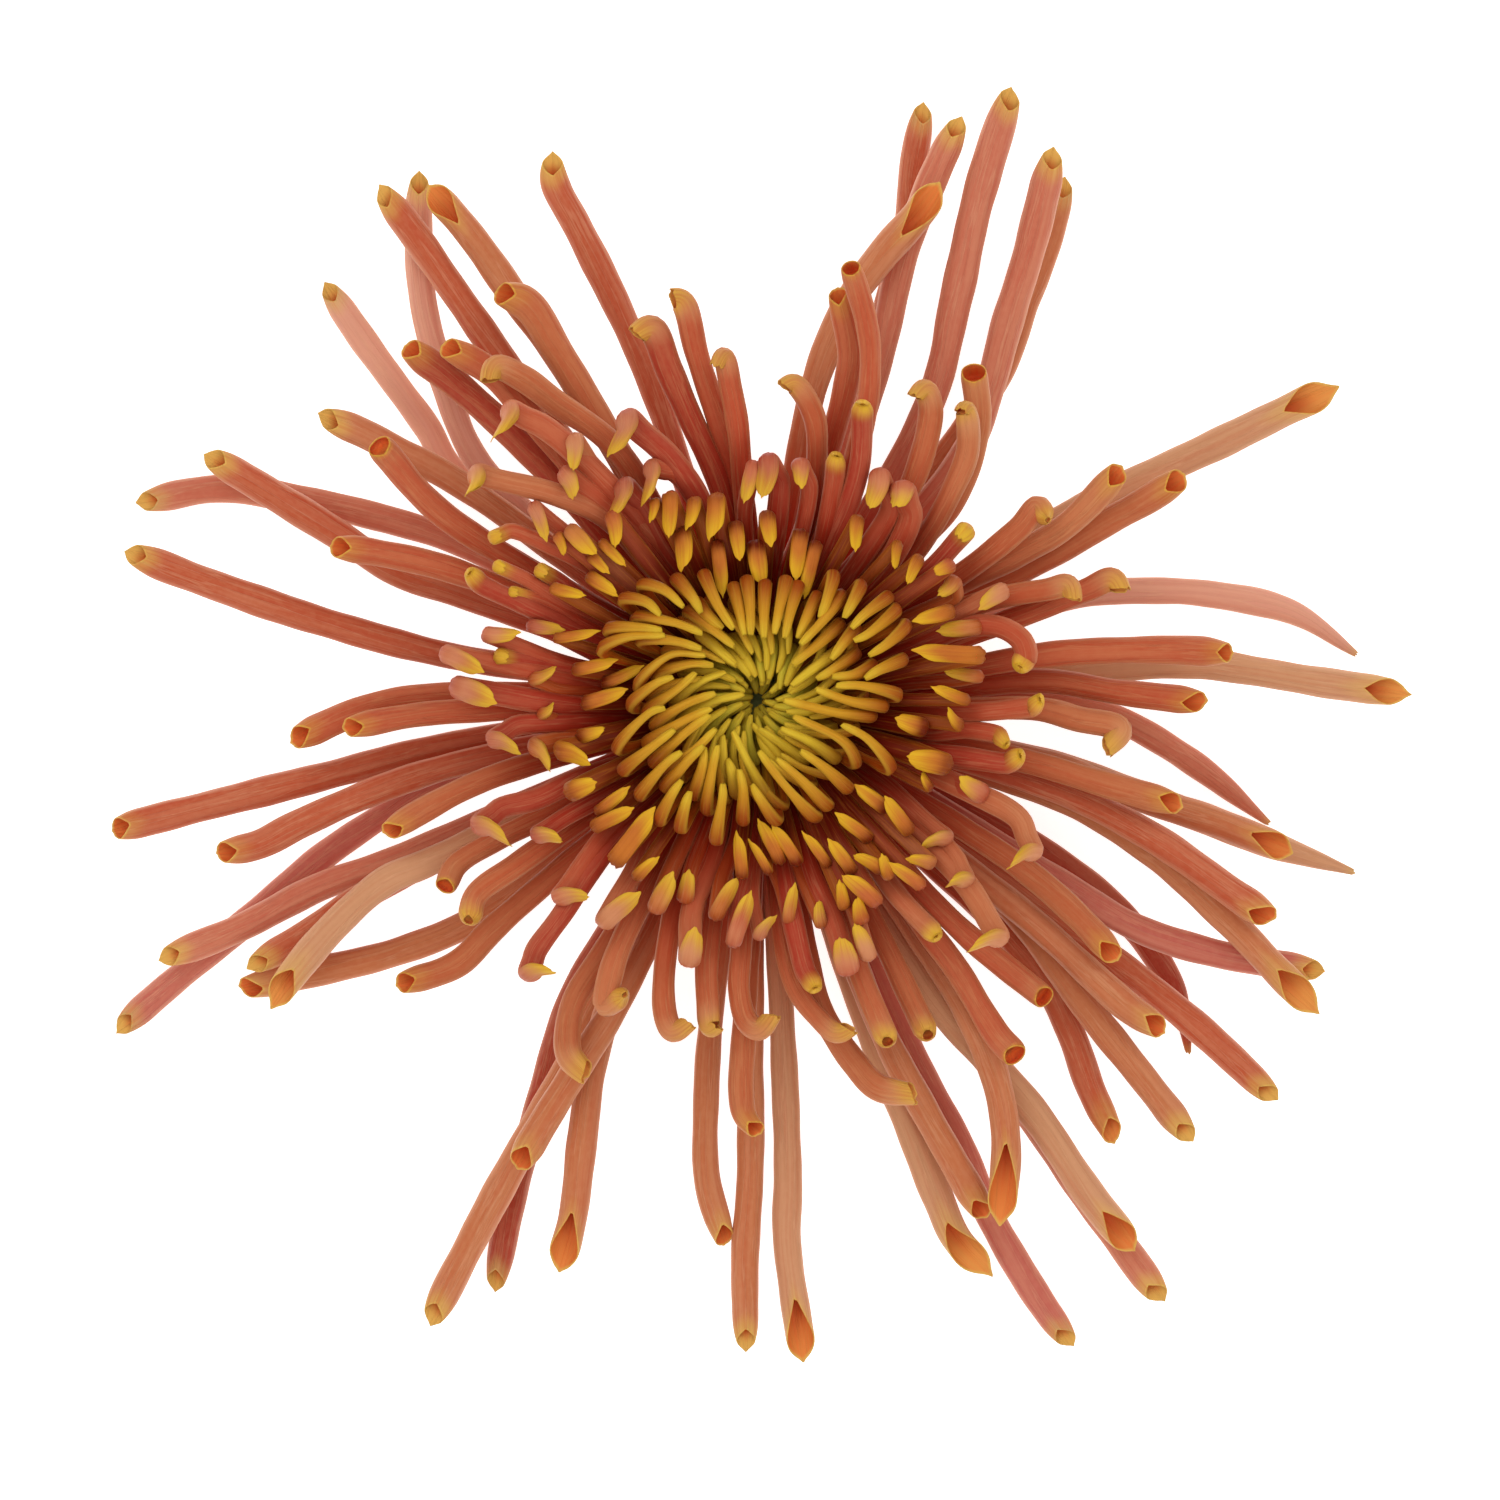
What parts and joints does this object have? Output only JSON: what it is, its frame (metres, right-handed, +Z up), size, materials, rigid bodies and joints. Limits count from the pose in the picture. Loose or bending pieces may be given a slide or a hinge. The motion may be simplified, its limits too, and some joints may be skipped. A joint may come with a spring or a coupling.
{
  "type": "spider chrysanthemum flower head",
  "caption": "Cut spider chrysanthemum flower head, lying face up: long tubular rust-red florets spread in a wide ring round curled yellow-tipped claws and a green-gold centre.",
  "frame": {"origin": "middle of the footprint, on the surface that the head rests on", "axes": "+Z up through the face of the bloom, +X and +Y across it, as the flower is seen from straight above; the stem stands along +Z at x = -0.45 mm, y = 2.35 mm"},
  "size_m": [0.1305, 0.1282, 0.0296],
  "materials": {
    "stem": "green fibrous stem with faint ribs and a pale cut end",
    "receptacle": "pale green firm plant tissue, matte",
    "bracts": "green leafy scales with pale papery edges",
    "lower_florets": "dusty pink tubular petals, satin, finely veined lengthwise",
    "outer_florets": "terracotta tubular petals, satin, finely veined lengthwise, orange lips",
    "middle_florets": "rust to orange-brown tubular petals with golden hooked ends",
    "outer_claws": "deep red tubes that turn to pale shoulders and yellow claw tips",
    "inner_claws": "short red-brown tubes with golden yellow claw tips",
    "centre_florets": "golden to olive-green small tubular petals"
  },
  "bodies": {
    "root": {"stem": "stem", "receptacle": "receptacle", "lower_bracts": "bracts", "upper_bracts": "bracts", "outer_floret_01": "outer_florets", "outer_floret_02": "lower_florets", "outer_floret_03": "outer_florets", "outer_floret_04": "lower_florets", "outer_floret_05": "outer_florets", "outer_floret_06": "outer_florets", "outer_floret_07": "outer_florets", "outer_floret_08": "outer_florets", "outer_floret_09": "lower_florets", "outer_floret_10": "outer_florets", "outer_floret_11": "outer_florets", "outer_floret_12": "outer_florets", "outer_floret_13": "outer_florets", "outer_floret_14": "lower_florets", "outer_floret_15": "outer_florets", "outer_floret_16": "outer_florets", "outer_floret_17": "lower_florets", "outer_floret_18": "outer_florets", "outer_floret_19": "outer_florets", "outer_floret_20": "outer_florets", "outer_floret_21": "outer_florets", "outer_floret_22": "lower_florets", "outer_floret_23": "outer_florets", "outer_floret_24": "outer_florets", "outer_floret_25": "outer_florets", "outer_floret_26": "outer_florets", "outer_floret_27": "outer_florets", "outer_floret_28": "lower_florets", "outer_floret_29": "outer_florets", "outer_floret_30": "outer_florets", "outer_floret_31": "outer_florets", "outer_floret_32": "outer_florets", "outer_floret_33": "outer_florets", "outer_floret_34": "outer_florets", "outer_floret_35": "outer_florets", "outer_floret_36": "lower_florets", "outer_floret_37": "outer_florets", "outer_floret_38": "outer_florets", "outer_floret_39": "outer_florets", "outer_floret_40": "outer_florets", "outer_floret_41": "lower_florets", "outer_floret_42": "outer_florets", "outer_floret_43": "outer_florets", "outer_floret_44": "outer_florets", "outer_floret_45": "outer_florets", "outer_floret_46": "outer_florets", "outer_floret_47": "outer_florets", "outer_floret_48": "lower_florets", "outer_floret_49": "lower_florets", "middle_florets": "middle_florets", "outer_claws": "outer_claws", "inner_claws": "inner_claws", "centre_florets": "centre_florets"}
  },
  "joints": []
}
